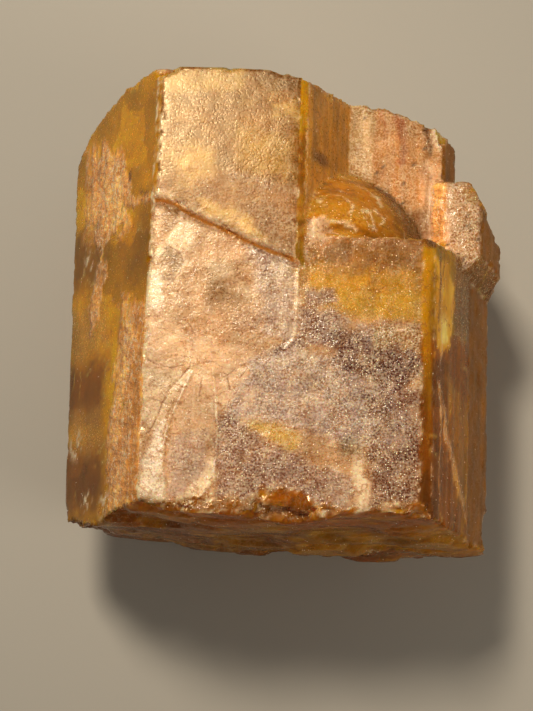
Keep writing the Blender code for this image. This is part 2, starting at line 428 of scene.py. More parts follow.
# Where in a look its values are, and which of them the crystal's mesh keeps by name.
TINT = slice(0, 3)
CLEAR, ROUGH, GRAIN, SPARK, GLOW, CRUMPLE = range(3, 9)
MESH_VALUES = {"clear": CLEAR, "rough": ROUGH, "grain": GRAIN, "spark": SPARK, "crumple": CRUMPLE}


def look(red, green, blue, clear, rough, grain, spark, glow=0.6, crumple=0.0):
    """A look: its colour as on a screen, how see-through it is, how rough, how speckled, how
    many painted sparkles it carries, how thick the cloud under it is, and how crumpled it is."""
    screen = np.array([red, green, blue]) / 255.0
    tint = np.where(screen <= 0.04045, screen / 12.92, ((screen + 0.055) / 1.055) ** 2.4)
    return np.array([*tint, clear, rough, grain, spark, glow, crumple])


FROST_TAN = look(228, 182, 134, 0.46, 0.32, 0.42, 0.3, 0.9, 0.08)
GOLD_TAN = look(150, 104, 32, 0.55, 0.3, 0.3, 0.12, 0.95, 0.05)
GOLD = look(244, 190, 52, 0.56, 0.22, 0.24, 0.25, 1, 0.08)
BRIGHT_GOLD = look(252, 214, 84, 0.52, 0.24, 0.4, 0.25, 1, 0.1)
PEACH = look(246, 206, 164, 0.33, 0.34, 0.26, 0.2, 0.9, 0.22)
CREAM = look(250, 226, 190, 0.22, 0.34, 0.3, 0.4, 0.9, 0.2)
WHITE_FROST = look(250, 236, 214, 0.12, 0.3, 0.5, 0.6, 0.9, 0.35)
GREY_FROST = look(206, 182, 174, 0.42, 0.34, 0.78, 0.5, 0.55, 0.12)
MAUVE = look(178, 136, 130, 0.42, 0.32, 1, 0.8, 0.25, 0.06)
DEEP_MAUVE = look(130, 66, 54, 0.46, 0.32, 1, 0.95, 0)
BACK_TAN = look(210, 156, 86, 0.42, 0.34, 0.4, 0.3, 0.7, 0.3)
PINK_BROWN = look(186, 136, 104, 0.45, 0.42, 0.6, 0.25, 0.5, 0.1)
BROWN_GOLD = look(180, 116, 26, 0.6, 0.34, 0.5, 0.25, 0.5)
AMBER = look(240, 146, 6, 0.7, 0.14, 0.05, 0.06, 0.75, 0.12)
DARK_AMBER = look(196, 118, 4, 0.72, 0.16, 0.05, 0.06, 0.35)
DEEP_AMBER = look(104, 46, 2, 0.72, 0.16, 0.05, 0.04, 0.1)
HONEY = look(244, 180, 14, 0.48, 0.22, 0.05, 0.04, 0.85)
DARK_HONEY = look(210, 146, 10, 0.52, 0.2, 0.05, 0.04, 0.45)
FLAKE = look(253, 186, 116, 0.18, 0.22, 0.08, 0.2, 0.9, 1)
ORANGE_FLAKE = look(252, 178, 92, 0.26, 0.2, 0.08, 0.15, 0.8, 0.8)
WINDOW = look(168, 104, 4, 0.66, 0.12, 0.02, 0.02, 0.25)
CLOUD = look(214, 166, 76, 0.45, 0.26, 0.2, 0.12, 0.8)
OLIVE_GOLD = look(200, 158, 16, 0.5, 0.16, 0.05, 0.04, 0.8, 0.3)
RISER_BROWN = look(226, 164, 60, 0.45, 0.34, 0.2, 0.08, 0.6, 0.15)
DOME_GOLD = look(232, 162, 26, 0.6, 0.14, 0.06, 0.12, 1, 0.15)
WINDOW_GOLD = look(255, 190, 62, 0.24, 0.08, 0.02, 0.04, 1)
CLEAR_GOLD = look(244, 176, 20, 0.45, 0.08, 0.02, 0.04, 1)
STRIPED_BROWN = look(172, 112, 12, 0.45, 0.38, 0.15, 0.08, 0.4)
LOW_PEACH = look(214, 156, 92, 0.3, 0.42, 0.5, 0.12, 0.8, 0.2)
LOW_CREAM = look(210, 176, 124, 0.3, 0.42, 0.6, 0.12, 0.8)
ORANGE_STRIPE = look(190, 116, 66, 0.35, 0.42, 0.4, 0.08, 0.5)
DARK_BROWN = look(104, 64, 34, 0.5, 0.32, 0.35, 0.06, 0.2)
# Darker amber for the front end and underside: the crystal's amber with painted shade.
AMBER_WITH_PAINTED_SHADE = look(170, 104, 6, 0.55, 0.14, 0.06, 0.1, 0.5, 0.35)
GLASS_BROWN = look(186, 134, 58, 0.62, 0.16, 0.25, 0.25, 0.6, 0.2)
SIDE_BROWN = look(160, 104, 34, 0.45, 0.26, 0.45, 0.25, 0.5, 0.2)
GLINT_GOLD = look(255, 222, 132, 0.06, 0.16, 0.05, 0.1, 1, 0.3)
# Painted glints: pale spots that stand in for light caught on rims and facets.
PAINTED_GLINT = look(255, 236, 196, 0.3, 0.1, 0.1, 0.9, 0.9, 0.6)
CHIP_AMBER = look(192, 124, 12, 0.6, 0.1, 0.04, 0.3, 0.6, 0.85)
TAN_FACET = look(150, 106, 62, 0.3, 0.3, 0.5, 0.2, 0.3)
SPECKLE_ROW = look(226, 190, 130, 0.45, 0.3, 1, 1, 0.6, 0.15)
OLIVE_GREY = look(150, 128, 84, 0.45, 0.34, 0.8, 0.3, 0.3)
SIDE_SPECKLE = look(214, 174, 130, 0.3, 0.42, 0.95, 0.7, 0.7, 0.5)
# Peach frost on the side block's left-facing slope, made lighter as painted light.
SIDE_RIDGE = look(244, 194, 150, 0.25, 0.42, 0.3, 0.2, 0.9, 0.35)


class Coat:
    """The look at every point of the crystal, built up in layers."""

    def __init__(self, points, faces, ground):
        self.points = points
        self.faces = faces
        self.values = np.tile(ground, (len(points), 1))
        self.flat = warped(points[:, :2], points)
        self.ragged = 0.5 * fractal(points, 2.2, 17) + 0.5 * fractal(points, 0.9, 18, 2)

    def lay(self, share, top):
        """Covers the given share of each point with another look."""
        share = np.clip(share, 0, 1)[:, None]
        self.values = self.values * (1 - share) + top * share

    def dapple(self, share, low, high, top, spots, size, seed, octaves=4):
        """Covers with another look where noise on the spots rises from low to high."""
        self.lay(share * smooth(low, high, fractal(spots, size, seed, octaves)), top)

    def shade(self, share, strength):
        """Darkens or lightens the colour by the given share."""
        self.tone(1 + (strength - 1) * np.clip(share, 0, 1))

    def tone(self, strength):
        """Multiplies the colour at each point."""
        self.values[:, TINT] *= strength[:, None]

    def store(self, mesh):
        """Keeps the looks on the mesh, for its material to read."""
        tint = mesh.attributes.new("tint", "FLOAT_COLOR", "POINT")
        flat = np.ones((len(self.values), 4), np.float32)
        flat[:, TINT] = self.values[:, TINT]
        tint.data.foreach_set("color", flat.ravel())
        for name, column in MESH_VALUES.items():
            keep_value(mesh, name, self.values[:, column])


def keep_value(mesh, name, values):
    """Keeps one number per point on the mesh."""
    kept = mesh.attributes.new(name, "FLOAT", "POINT")
    kept.data.foreach_set("value", values.astype(np.float32))


def warped(spots, points, size=3, push=0.9, seed=40):
    """The spots moved about by noise, so that what is drawn on them has a natural edge."""
    moved = [fractal(points, size, seed), fractal(points, size, seed + 10)]
    return spots + push * np.stack(moved, axis=1)


# The look under everything else on each face. Any other point is HONEY.
GROUNDS = {
    "back_top": GOLD_TAN,
    "front_top": FROST_TAN,
    "riser_wall": RISER_BROWN,
    "low_top": LOW_PEACH,
    "low_wall": STRIPED_BROWN,
    "side_top": SIDE_SPECKLE,
    "side_wall": STRIPED_BROWN,
    "dome": DOME_GOLD,
    "right": OLIVE_GOLD,
    "front_end": AMBER_WITH_PAINTED_SHADE,
    "back_end": BACK_TAN,
    "under": AMBER_WITH_PAINTED_SHADE,
    "under_left": DARK_HONEY,
    "under_right": DARK_HONEY,
}
# The top face's broken front rim, outlined in X and Y.
RIM_CHIPS = [
    (-18.8, -28.8), (-14, -29), (-11.1, -28.2), (-6, -28.6), (-2.7, -28.4), (-2.3, -26.9),
    (1.7, -26.7), (4.2, -27.8), (6.7, -28.5), (8.8, -29.3), (13.4, -29.7), (15.2, -28.5),
    (20.8, -28.3), (20.8, -33), (-18.8, -33),
]

# Each patch is a look, how strongly it covers, how soft and how ragged its edge is in mm,
# and its outline.
BACK_TOP_PATCHES = [
    (PINK_BROWN, 0.85, 0.8, 1.2, [(-19.5, 15.8), (-13.1, 20.9), (-8.6, 17.6), (-3.5, 17.2),
        (2.3, 16.7), (2.7, 6), (-3.9, 7), (-12, 12), (-19.5, 13.6)]),
    (CREAM, 0.4, 1.4, 2.4, [(-18, 33.5), (-7, 35), (-6.5, 31.5), (-17.5, 30)]),
    (CREAM, 0.4, 2, 2.4, [(-16.5, 21.6), (-13.9, 22.7), (-10.2, 21.5), (-10.5, 18.5),
        (-13.6, 16.4), (-15.8, 17.1)]),
    (CREAM, 0.4, 1.4, 2, [(-2.2, 29.3), (1.9, 29.9), (2.4, 25.6), (-0.9, 26.1)]),
    (BRIGHT_GOLD, 0.35, 4, 2.5, [(-7, 25), (1.5, 24), (1.5, 18.5), (-6, 19)]),
    (CREAM, 0.55, 0.8, 1.6, [(-12.8, 14.6), (-7.4, 12.4), (-2.9, 9.9), (-2.2, 8.3), (-4.6, 8.4),
        (-12.5, 12.8)]),
    (MAUVE, 0.6, 0.5, 1.2, [(-8.5, 18.6), (-2, 17.8), (-1.5, 16.6), (-8, 17)]),
]
FRONT_TOP_PATCHES = [
    (FROST_TAN, 1, 1, 0.8, [(-16.4, 12.8), (-9.8, 9.8), (-2.9, 7.3), (2.1, 5.7), (2.3, -4.2),
        (-2.3, -8.7), (-8.8, -11.1), (-14.6, -9.9), (-18.7, -5), (-18.6, 5)]),
    (GREY_FROST, 0.75, 0.8, 1.4, [(-4.9, 8), (2.2, 5.5), (2.4, -6.4), (-2, -4.4)]),
    (MAUVE, 0.45, 0.6, 1.2, [(-6, 7.6), (-2.2, 6.6), (-1.6, 3.4), (-4.4, 4.2)]),
    (MAUVE, 0.4, 0.6, 1.2, [(-7, -2.4), (-2.6, -1.6), (-3, -4.6), (-6.6, -5)]),
    (GOLD_TAN, 0.6, 1, 1.2, [(-11, 5), (-5, 5.5), (-4.5, -0.5), (-10.5, -1)]),
    (CREAM, 0.8, 0.4, 1.2, [(-16.6, 12.9), (-13.5, 11.5), (-13.6, 6.5), (-16.7, 8.1)]),
    (CREAM, 0.7, 0, 0.2, [(-19.2, 5.9), (-16.3, 8), (-13.6, 5.6), (-14.4, 1.7), (-18, 1.4)]),
    (TAN_FACET, 0.8, 0, 0.2, [(-18.9, 5.4), (-16.2, 7.4), (-14.1, 5.4), (-14.9, 2.2),
        (-18, 2)]),
    (BROWN_GOLD, 0.8, 0.1, 0.4, [(-17.2, 13.3), (-15, 13.2), (-15.1, 10.7), (-16.8, 8.8),
        (-17.6, 10.7)]),
    (WHITE_FROST, 0.75, 0.5, 1, [(-19.4, 3.4), (-17.5, 3), (-16, -0.4), (-17.6, -3.2),
        (-19.4, -2.5)]),
    (GOLD, 1, 4, 4, [(2.7, 4.9), (5, 6.6), (9.1, 6), (12, 7.8), (16, 5.6), (20.8, 7),
        (20.8, -2.8), (16.5, -4), (10.1, -1.7), (3.3, 0.2)]),
    (BRIGHT_GOLD, 0.5, 0.8, 1.8, [(6, 2.6), (20.5, 1.2), (20.5, -2.4), (12, -1.6), (6, 0.4)]),
    (GLASS_BROWN, 0.95, 4, 5, [(4.1, 5.8), (9, 10.2), (20.8, 10), (20.8, 4.2), (17, 6.4),
        (13, 4.6), (9.1, 6.4)]),
    (GREY_FROST, 1, 1, 1.6, [(-8.8, -11.1), (0.2, -6.5), (9.5, -8.6), (17.4, -10.9),
        (17.6, -20.1), (10.6, -21.1), (3.5, -18.5), (-6.5, -17.5)]),
    (MAUVE, 0.85, 0.7, 1.4, [(2.6, -0.5), (7.5, -1), (10.1, -3), (7, -7), (2.5, -6.5)]),
    (DEEP_MAUVE, 0.95, 0.7, 1.6, [(6.6, -4.8), (10.1, -3.9), (20.8, -5.3), (20.8, -10.1),
        (17.4, -11.6), (12.4, -10.3), (8.1, -8.3)]),
    (GREY_FROST, 0.7, 0.6, 1.2, [(11, -2.4), (20.8, -2.8), (20.8, -5.2), (12, -5)]),
    (MAUVE, 0.8, 0.4, 0.8, [(3.2, 1.9), (7.8, 2.3), (8.6, 0.2), (3.6, 0)]),
    (DEEP_MAUVE, 0.75, 1.2, 2.2, [(12.3, -12.6), (20.8, -11.2), (20.8, -28), (14.2, -28.9)]),
    (GREY_FROST, 0.5, 0.8, 2.2, [(12, -14.6), (18.8, -15.2), (18, -20), (12.2, -19.9)]),
    (MAUVE, 0.75, 1, 1.6, [(-8.7, -15.7), (2.1, -21.4), (7.8, -24), (8, -29.6), (2.3, -28.7),
        (-3.2, -30), (-8.1, -29.1)]),
    # A painted glow, as of light inside the crystal.
    (BRIGHT_GOLD, 0.6, 0.6, 1.5, [(-5, -17.4), (-0.1, -17.9), (4.2, -19.9), (2.2, -21.7),
        (-3.5, -19.2)]),
    (PEACH, 0.9, 1, 1.8, [(-19.4, -1.6), (-10.5, -6.1), (-2.6, -8), (-5.2, -13.1), (-8.6, -17.5),
        (-12.4, -11.3), (-19.4, -11)]),
    (CREAM, 0.7, 0.3, 0.6, [(-12.2, -10.5), (-19.4, -10.9), (-19.4, -17.5), (-17, -18.6),
        (-14.6, -14.6)]),
    (WHITE_FROST, 0.9, 0.25, 0.4, [(-15.4, -16.5), (-17.2, -19.9), (-18.5, -23.6), (-18.5, -28),
        (-16.8, -30.3), (-15.5, -27.6), (-15.7, -24.1), (-15.6, -19.9)]),
    (PEACH, 0.8, 0.3, 0.5, [(-12.2, -10.5), (-9.4, -10.4), (-8.8, -14.7), (-8.4, -18.9),
        (-8.6, -23.9), (-10, -27.7), (-12.5, -30.4), (-15.4, -30.4), (-15.4, -24.1),
        (-14, -15.6)]),
    (GREY_FROST, 0.6, 0.8, 1.4, [(-14.6, -20), (-9.4, -19), (-9.2, -24), (-12, -28.6),
        (-15, -29)]),
    (GREY_FROST, 0.7, 0.3, 0.5, [(7.8, -24), (9.5, -23.6), (11, -25.3), (10.8, -28.8),
        (8.7, -29.8), (7.6, -26.8)]),
    (SPECKLE_ROW, 0.85, 0.6, 2.4, [(13, -3), (20.8, -3.4), (20.8, -6.6), (14, -6)]),
    (OLIVE_GREY, 0.6, 0.6, 1.2, [(8.6, -19.4), (11.6, -19.2), (12, -22), (9, -22.2)]),
    (DEEP_MAUVE, 0.9, 0.1, 0.3, [(-0.2, -6.5), (1, -6.4), (0.9, -7.3), (-0.1, -7.2)]),
    (CREAM, 0.8, 0.2, 0.6, [(-8.6, -22.5), (-8, -25), (-10, -27.8), (-12.8, -29.2),
        (-13.8, -28.6), (-11, -26.6), (-9.4, -24.6)]),
    (CHIP_AMBER, 1, 0.1, 0.9, RIM_CHIPS),
    (CLEAR_GOLD, 0.95, 0.1, 0.5, [(-2, -27.4), (-0.6, -27.4), (-0.7, -28.8), (-1.9, -28.7)]),
    # Painted golden glints at the right end of the broken front rim.
    (CLEAR_GOLD, 0.95, 0.1, 0.6, [(15.6, -29.4), (20.6, -29.2), (20.4, -30.6), (16, -30.8)]),
    (CREAM, 0.9, 0.25, 0.4, [(10.9, -21.8), (12, -21.7), (13.5, -25.9), (13.6, -29.8),
        (11.9, -30.2), (11.2, -25.3)]),
]
LEFT_PATCHES = [
    (HONEY, 0.7, 2, 2, [(-2, 44), (32, 44), (32, 16), (-2, 13)]),
    (DARK_HONEY, 0.6, 3, 2, [(-1, 15), (12, 13), (10, 3), (-1, 2)]),
    (WINDOW, 0.55, 4, 2.2, [(32, 14.6), (15.9, 11.5), (16.5, 4.5), (32, 5.9)]),
    (WINDOW, 0.9, 5, 2.6, [(32, -6.6), (13.3, -6.9), (14.9, -16.7), (32, -16.4)]),
    (WINDOW, 0.9, 5, 2.6, [(32, -20.2), (13.1, -20.3), (12, -28.8), (32, -32.7)]),
    (CLOUD, 0.6, 3, 2.6, [(29.2, 1.9), (15.4, 0.6), (12.7, -5.5), (27.8, -6.5)]),
    (CLOUD, 0.6, 2.6, 2.6, [(27.3, -14.6), (15.2, -15.1), (13.6, -21.6), (25.4, -21.2)]),
    (ORANGE_FLAKE, 0.75, 0.8, 3, [(28.1, 29.4), (11.2, 24.8), (6.8, 11.2), (25.6, 12.5)]),
    (FLAKE, 0.9, 0.35, 3, [(24.3, 26.6), (19.4, 28), (10.9, 22.3), (7.2, 16.1), (9.6, 12),
        (19.2, 11.2), (24.2, 17.2)]),
    (ORANGE_FLAKE, 0.95, 0.9, 3, [(10.1, 2.6), (-1, -1.8), (-1, -15.1), (-1, -31.8),
        (10.3, -31.6), (12.2, -16.8), (9.5, -6.6)]),
    (FLAKE, 0.9, 0.3, 3.2, [(8.4, -3), (3, -5), (2.6, -28.8), (8, -29), (10.4, -17), (8, -9)]),
    (FLAKE, 0.85, 0.4, 2, [(22.9, 2), (17.9, 9.7), (15.2, 6.6), (17.9, -0.7), (20.6, -3.8)]),
    (FLAKE, 0.8, 0.3, 1.2, [(10, 16.2), (0.9, 15.1), (-1.9, 14.8), (-1.9, 14), (1, 14.2),
        (10, 15.3)]),
    (DARK_BROWN, 0.8, 0.1, 0.5, [(8.2, 20.9), (9.3, 20.6), (9.2, 19.2), (8.4, 19.4)]),
    (DARK_BROWN, 0.8, 0.1, 0.3, [(4.6, 17), (2, 15.7), (2, 15.2), (4.6, 16.3)]),
]
RIGHT_PATCHES = [
    (DARK_AMBER, 0.9, 1, 1.2, [(-2, -4), (13.9, -2.3), (26, -23.1), (26, -32), (-2, -32)]),
    (STRIPED_BROWN, 0.7, 4, 3, [(14, 5.2), (26, 7.1), (26, -15.6), (16.3, -16.1)]),
    (SIDE_BROWN, 0.8, 4, 3, [(6.5, 10.9), (26, 11.9), (26, 0), (7.6, -4)]),
    (WINDOW_GOLD, 0.95, 0.6, 1.8, [(0.2, 7.6), (4, 7.8), (7.2, 4.1), (7.6, -2), (5.4, -4.6),
        (0.4, -6.8)]),
    # A painted glint in the golden window.
    (GLINT_GOLD, 1, 0.5, 1.2, [(2.2, 0.2), (5, -1), (5.2, -3.6), (2.6, -4.4)]),
    (DARK_BROWN, 0.8, 0, 0.2, [(1.6, 8.6), (2.1, 8.6), (1.9, -1), (1.4, -3)]),
    (DARK_BROWN, 0.7, 0, 0.2, [(3, 9), (3.4, 9), (3, 3), (2.7, 3)]),
    (CREAM, 0.5, 0, 0.2, [(2.4, 4), (2.8, 4), (2.7, -8), (2.3, -8)]),
    (FLAKE, 0.8, 0, 0.3, [(2.5, -11.5), (3.1, -11.5), (3.3, -20), (2.8, -28), (2.3, -28),
        (2.6, -20)]),
    (FLAKE, 0.7, 0.25, 0.9, [(1.2, -10), (2.2, -10), (6.6, -18.5), (14.6, -31), (13, -31),
        (4.4, -18.5)]),
    (GOLD, 0.3, 3, 4, [(5, -9), (13, -12), (20, -27), (9, -29)]),
]
LOW_TOP_PATCHES = [
    (LOW_CREAM, 0.9, 0.6, 1.2, [(9, 34.9), (13.8, 35), (13.6, 22), (9, 22.7)]),
    (ORANGE_STRIPE, 0.95, 0.5, 0.8, [(17.1, 34), (18.7, 34), (18.6, 25), (17.6, 25)]),
    (ORANGE_STRIPE, 0.85, 0.5, 0.8, [(14.8, 34), (15.6, 34), (15.6, 29), (15.1, 29)]),
    (DARK_BROWN, 0.8, 0.3, 0.6, [(21.7, 33), (22.7, 33), (22.6, 26), (21.9, 26)]),
    (WHITE_FROST, 0.8, 0.3, 0.5, [(22.7, 33), (25.5, 31.2), (24.2, 27.5), (22.8, 28.1)]),
    (DARK_BROWN, 0.55, 1, 1.6, [(17.2, 17.1), (22.6, 17.7), (22.6, 9), (17.6, 10)]),
    (SIDE_RIDGE, 0.7, 0.8, 1, [(21.6, 25), (25, 25), (25, 9), (22.3, 9)]),
]
SIDE_TOP_PATCHES = [
    (SIDE_RIDGE, 1, 0.5, 0.8, [(21.5, 23.6), (24.9, 23.7), (25.4, 5.2), (21.5, 5.9)]),
    (CLOUD, 0.6, 0.3, 0.6, [(27.8, 20.9), (29.6, 19.9), (29.7, 18), (28.3, 18.6)]),
    (DARK_BROWN, 0.5, 0.6, 1.2, [(25.5, 8.8), (30.9, 9.6), (30.9, 4), (25.5, 4)]),
]
FRONT_END_PATCHES = [
    (CLEAR_GOLD, 0.9, 0.6, 1.6, [(-19.5, 48), (-8, 48), (-9.5, 41), (-18, 39)]),
    # A painted reflection: whitish on the front end's upper left.
    (WHITE_FROST, 0.5, 0.3, 1.2, [(-25, 44), (-18.5, 48), (-18.5, 45), (-24, 40)]),
    (CHIP_AMBER, 0.9, 0.6, 1.6, [(-9, 48), (22, 48), (22, 45), (8, 43.6), (0, 43.4), (-9, 45.8)]),
    (CLEAR_GOLD, 0.9, 0.2, 0.6, [(-1.6, 48), (0.2, 48), (0, 45.8), (-1.4, 45.9)]),
    # Painted golden glints on the front end's upper right.
    (GOLD, 0.8, 0.4, 1.2, [(13.6, 47.4), (21.4, 47.4), (21.6, 44.6), (14, 44.4)]),
    (HONEY, 0.6, 2, 3, [(4, 40), (33, 42), (33, 26), (4, 24)]),
    (DARK_AMBER, 0.7, 2, 3, [(4, 26), (33, 26), (33, 8), (4, 6)]),
    (DEEP_AMBER, 0.25, 5, 3, [(-35, 24), (-8, 28), (-6, 4), (-30, 2)]),
]
# Where painted glints go on the left face: how far down the slope, Y, and how far around, in mm.
LEFT_GLINTS = [(24, -20.4, 3.6), (18.5, -28.5, 2.6), (23, 9.5, 3), (11.5, -30, 3), (8, -30.5, 2)]
STAIN = (5.6, 22.4)  # on the wall over the low block
# The golden, smoother part of the front top.
GLASSY_ZONE = [(2.6, 5), (9, 10.2), (21, 10), (21, -2.6), (10, -1.4), (3, -0.4)]
GROOVE_LINE = look(214, 140, 30, 0.4, 0.16, 0.1, 0.02, 0.6)
AMBER_LINE = look(214, 138, 46, 0.4, 0.16, 0.1, 0.02, 0.6)
CRACK_LINE = look(146, 78, 34, 0.3, 0.3, 0.2, 0.02, 0.5)
# Each line on the tops is a path, how wide it is in mm, how strongly it covers, and a look.
DRAWN_LINES = [
    (GROOVE, 0.26, 0.9, GROOVE_LINE),
    (SCALLOP, 0.3, 0.4, AMBER_LINE),
    (RED_CRACK, 0.12, 0.7, CRACK_LINE),
    *((line, 0.11, 0.6, CRACK_LINE) for line in SMALL_CRACKS),
    *((line, 0.1, 0.65, WHITE_FROST) for line in SCRATCHES),
    (CREASE, 0.14, 0.35, WHITE_FROST),
    (LEAF_TWO, 0.16, 0.7, WHITE_FROST),
    (LEAF_EDGE, 0.15, 0.65, WHITE_FROST),
]
# Each line cut into the tops: its path, and its width and depth in mm, less than 0 for a ridge.
CARVED_LINES = [
    (RED_CRACK, 0.2, 0.06),
    (LEAF_EDGE, 0.2, -0.06),
    (LEAF_TWO, 0.25, -0.08),
    (CREASE, 0.25, -0.08),
]


def painted_inner_reflections(points):
    """Painted reflections of inner fractures: lighter and darker panes, as the fractures show
    through a clear face, and the thin bright lines between them."""
    bent = points + 2.5 * np.stack([fractal(points, 7, 50 + axis) for axis in range(3)], 1)
    first, second, value = cells(bent, 7.5, 55)
    panes = 1 + 0.28 * value
    lines = smooth(0.05, 0.015, second - first) * smooth(0.1, 0.5, fractal(points, 5, 58))
    return panes, lines


def rim_distance(points):
    """Distance in mm from each point to the top edge of the broken front end."""
    return np.hypot(points[:, 1] - FRONT_RIM, points[:, 2] - FRONT_TOP)


def lay_patches(coat, from_left, from_right):
    """Each face's ground and the patches on it."""
    points, faces = coat.points, coat.faces
    for face, top in GROUNDS.items():
        coat.lay(getattr(faces, face), top)
    for face, spots, patches in (
        ("back_top", coat.flat, BACK_TOP_PATCHES),
        ("front_top", coat.flat, FRONT_TOP_PATCHES),
        ("low_top", coat.flat, LOW_TOP_PATCHES),
        ("side_top", coat.flat, SIDE_TOP_PATCHES),
        ("left", from_left, LEFT_PATCHES),
        ("right", from_right, RIGHT_PATCHES),
        ("front_end", warped(points[:, [0, 2]], points), FRONT_END_PATCHES),
    ):
        for top, strength, soft, fringe, outline in patches:
            gap = depth_in(spots, outline) + fringe * coat.ragged
            edge = 0.5 * soft + 0.2
            coat.lay(getattr(faces, face) * strength * smooth(-edge, edge, gap), top)


def lay_clouding(coat, tops, zone):
    """Painted inner reflections as panes in the clear faces, and mist, veils and folds in the
    frosted tops.
    """
    points, faces = coat.points, coat.faces
    sides = faces.left + faces.right + faces.under + faces.under_left + faces.under_right
    glassy = sides + faces.dome + 0.6 * faces.front_end
    panes, lines = painted_inner_reflections(points)
    # Painted reflections: clear faces lighter and darker in panes, with bright gold lines between.
    coat.tone(1 + glassy * (panes - 1))
    coat.lay(glassy * lines * 0.7, BRIGHT_GOLD)
    misty = tops * (1 - 0.65 * zone) * (1 - 0.6 * faces.back_top)
    coat.dapple(misty * 0.4, 0.15, 0.6, PEACH, points, 1.9, 30)
    coat.dapple(misty * 0.4, 0.15, 0.6, BROWN_GOLD, points, 1.6, 31)
    coat.dapple(misty * 0.4, 0.1, 0.5, CREAM, points, 1.2, 32, 3)
    veil = smooth(0.09, 0, np.abs(fractal(stretched(points, 1, 0.7, 1), 5, 101, 5)))
    coat.dapple(misty * 0.5 * veil, -0.1, 0.4, CREAM, points, 4, 105)
    fold = smooth(0.05, 0, np.abs(fractal(stretched(points, 0.7, 1, 1), 4, 111, 5)))
    coat.dapple(misty * 0.45 * fold, 0, 0.4, PINK_BROWN, points, 3, 115)


def vary(coat):
    """Changes from place to place that no patch gives, and the back block's warmer top."""
    points, back_top = coat.points, coat.faces.back_top
    red, blue = 0, 2
    coat.values[:, SPARK] *= 1 - 0.75 * back_top
    coat.values[:, blue] *= 1 - 0.5 * back_top
    coat.values[:, red] *= 1 + 0.08 * back_top
    coat.values[:, GRAIN] *= np.clip(1 + 0.7 * fractal(points, 2.2, 99), 0.35, 1.3)
    coat.tone(1 + 0.16 * fractal(points, 9, 3) + 0.3 * fractal(points, 3, 13))


def lay_stripes(coat, zone):
    """Growth stripes along the crystal, and the stain on the wall over the low block."""
    points, faces = coat.points, coat.faces
    x, y, _ = points.T
    lengthwise = stretched(points, 1, 0.12, 1)
    stripes = 0.6 * fractal(lengthwise, 1.6, 62, 3) + 0.7 * fractal(lengthwise, 0.6, 63, 2)
    coat.dapple(faces.right * 0.7, 0.1, 0.5, HONEY, lengthwise, 3, 78, 3)
    striped = 0.75 * (faces.right + faces.side_wall + faces.low_wall)
    striped += 0.9 * (faces.low_top + faces.riser_wall)
    striped += 0.45 * (faces.front_top * zone)
    coat.tone(np.clip(1 + striped * 0.55 * stripes, 0.3, 1.6))
    stain = smooth(1.6, 0.4, np.hypot((x - STAIN[0]) / 1.3, y - STAIN[1]) + 0.6 * coat.ragged)
    coat.lay(faces.riser_wall * 0.75 * stain, DARK_BROWN)


def lay_ends(coat):
    """The layered front end with painted light near its top, the shell-like rings of the dome
    with painted glints and painted shade towards its right and back, and the back end.
    """
    points, front_end, dome = coat.points, coat.faces.front_end, coat.faces.dome
    x, y, z = points.T
    layered = stretched(points, 0.45, 1, 1.3)
    coat.shade(front_end * smooth(0, 0.4, fractal(layered, 2.2, 61)), 0.72)
    coat.dapple(front_end * 0.45, -0.1, 0.4, GOLD, points, 6, 79)
    # Painted light: lighter amber towards the top of the front end.
    lit = smooth(36, 46, z + 5 * fractal(stretched(points, 0.5, 1, 1), 4, 75))
    coat.lay(front_end * 0.7 * lit, AMBER)
    coat.dapple(front_end * 0.6, 0.1, 0.5, HONEY, layered, 1.6, 76, 3)

    ring = np.hypot(x - 8.8, 1.25 * (y - 5.3)) + 0.5 * fractal(points, 3, 66)
    arcs = fractal(np.stack([ring, 0.12 * x, 0.12 * z], axis=1), 1.1, 65)
    coat.lay(dome * smooth(0, 0.4, arcs) * 0.7, GOLD)
    coat.shade(dome * smooth(-0.05, -0.4, arcs), 0.6)
    # Painted glints on the dome.
    coat.dapple(dome * 0.8, 0.3, 0.6, PAINTED_GLINT, points, 1.2, 68)
    for line in DOME_LINES:
        gap = path_distance(points[:, :2], line)
        coat.lay(dome * 0.8 * smooth(0.3, 0.12, gap + 0.1 * coat.ragged), CREAM)
    # Painted shade: darker brown towards the dome's right and back.
    coat.lay(dome * 0.8 * smooth(16, 19.5, x + 0.6 * (y - 14)), DARK_BROWN)

    back_end = coat.faces.back_end
    coat.dapple(back_end * 0.7, -0.1, 0.4, HONEY, points, 4.5, 69)
    coat.dapple(back_end * 0.6, 0.1, 0.5, PINK_BROWN, points, 2.4, 70)


def lay_lines(coat, tops):
    """Cracks, scratches, creases and streaks on the tops, the dark specks on the right, and a
    painted highlight above the groove.
    """
    points, faces, ragged = coat.points, coat.faces, coat.ragged
    broken = smooth(-0.35, 0.15, fractal(points, 2.2, 120))
    wiggly = warped(points[:, :2], points, 1.4, 0.22, 90)
    for line, width, strength, top in DRAWN_LINES:
        gap = path_distance(wiggly, line) + 0.06 * ragged
        kept = 1 if line is GROOVE else broken
        coat.lay(tops * kept * strength * smooth(width * 1.4, width * 0.5, gap), top)
    for streak in STREAKS:
        gap = path_distance(wiggly, streak) + 0.5 * ragged
        coat.lay(tops * 0.35 * smooth(0.7, 0, gap), WHITE_FROST)
    speckled = (faces.low_top + faces.side_top) * 0.85
    coat.dapple(speckled, 0.44, 0.56, DARK_BROWN, points, 0.8, 95, 2)
    # A pale cream band along the groove's upper side: frost and a painted highlight on the step.
    above = path_distance(points[:, :2] - np.array([0.25, 0.75]), GROOVE)
    coat.lay(tops * 0.45 * smooth(0.8, 0.1, above + 0.5 * ragged), CREAM)


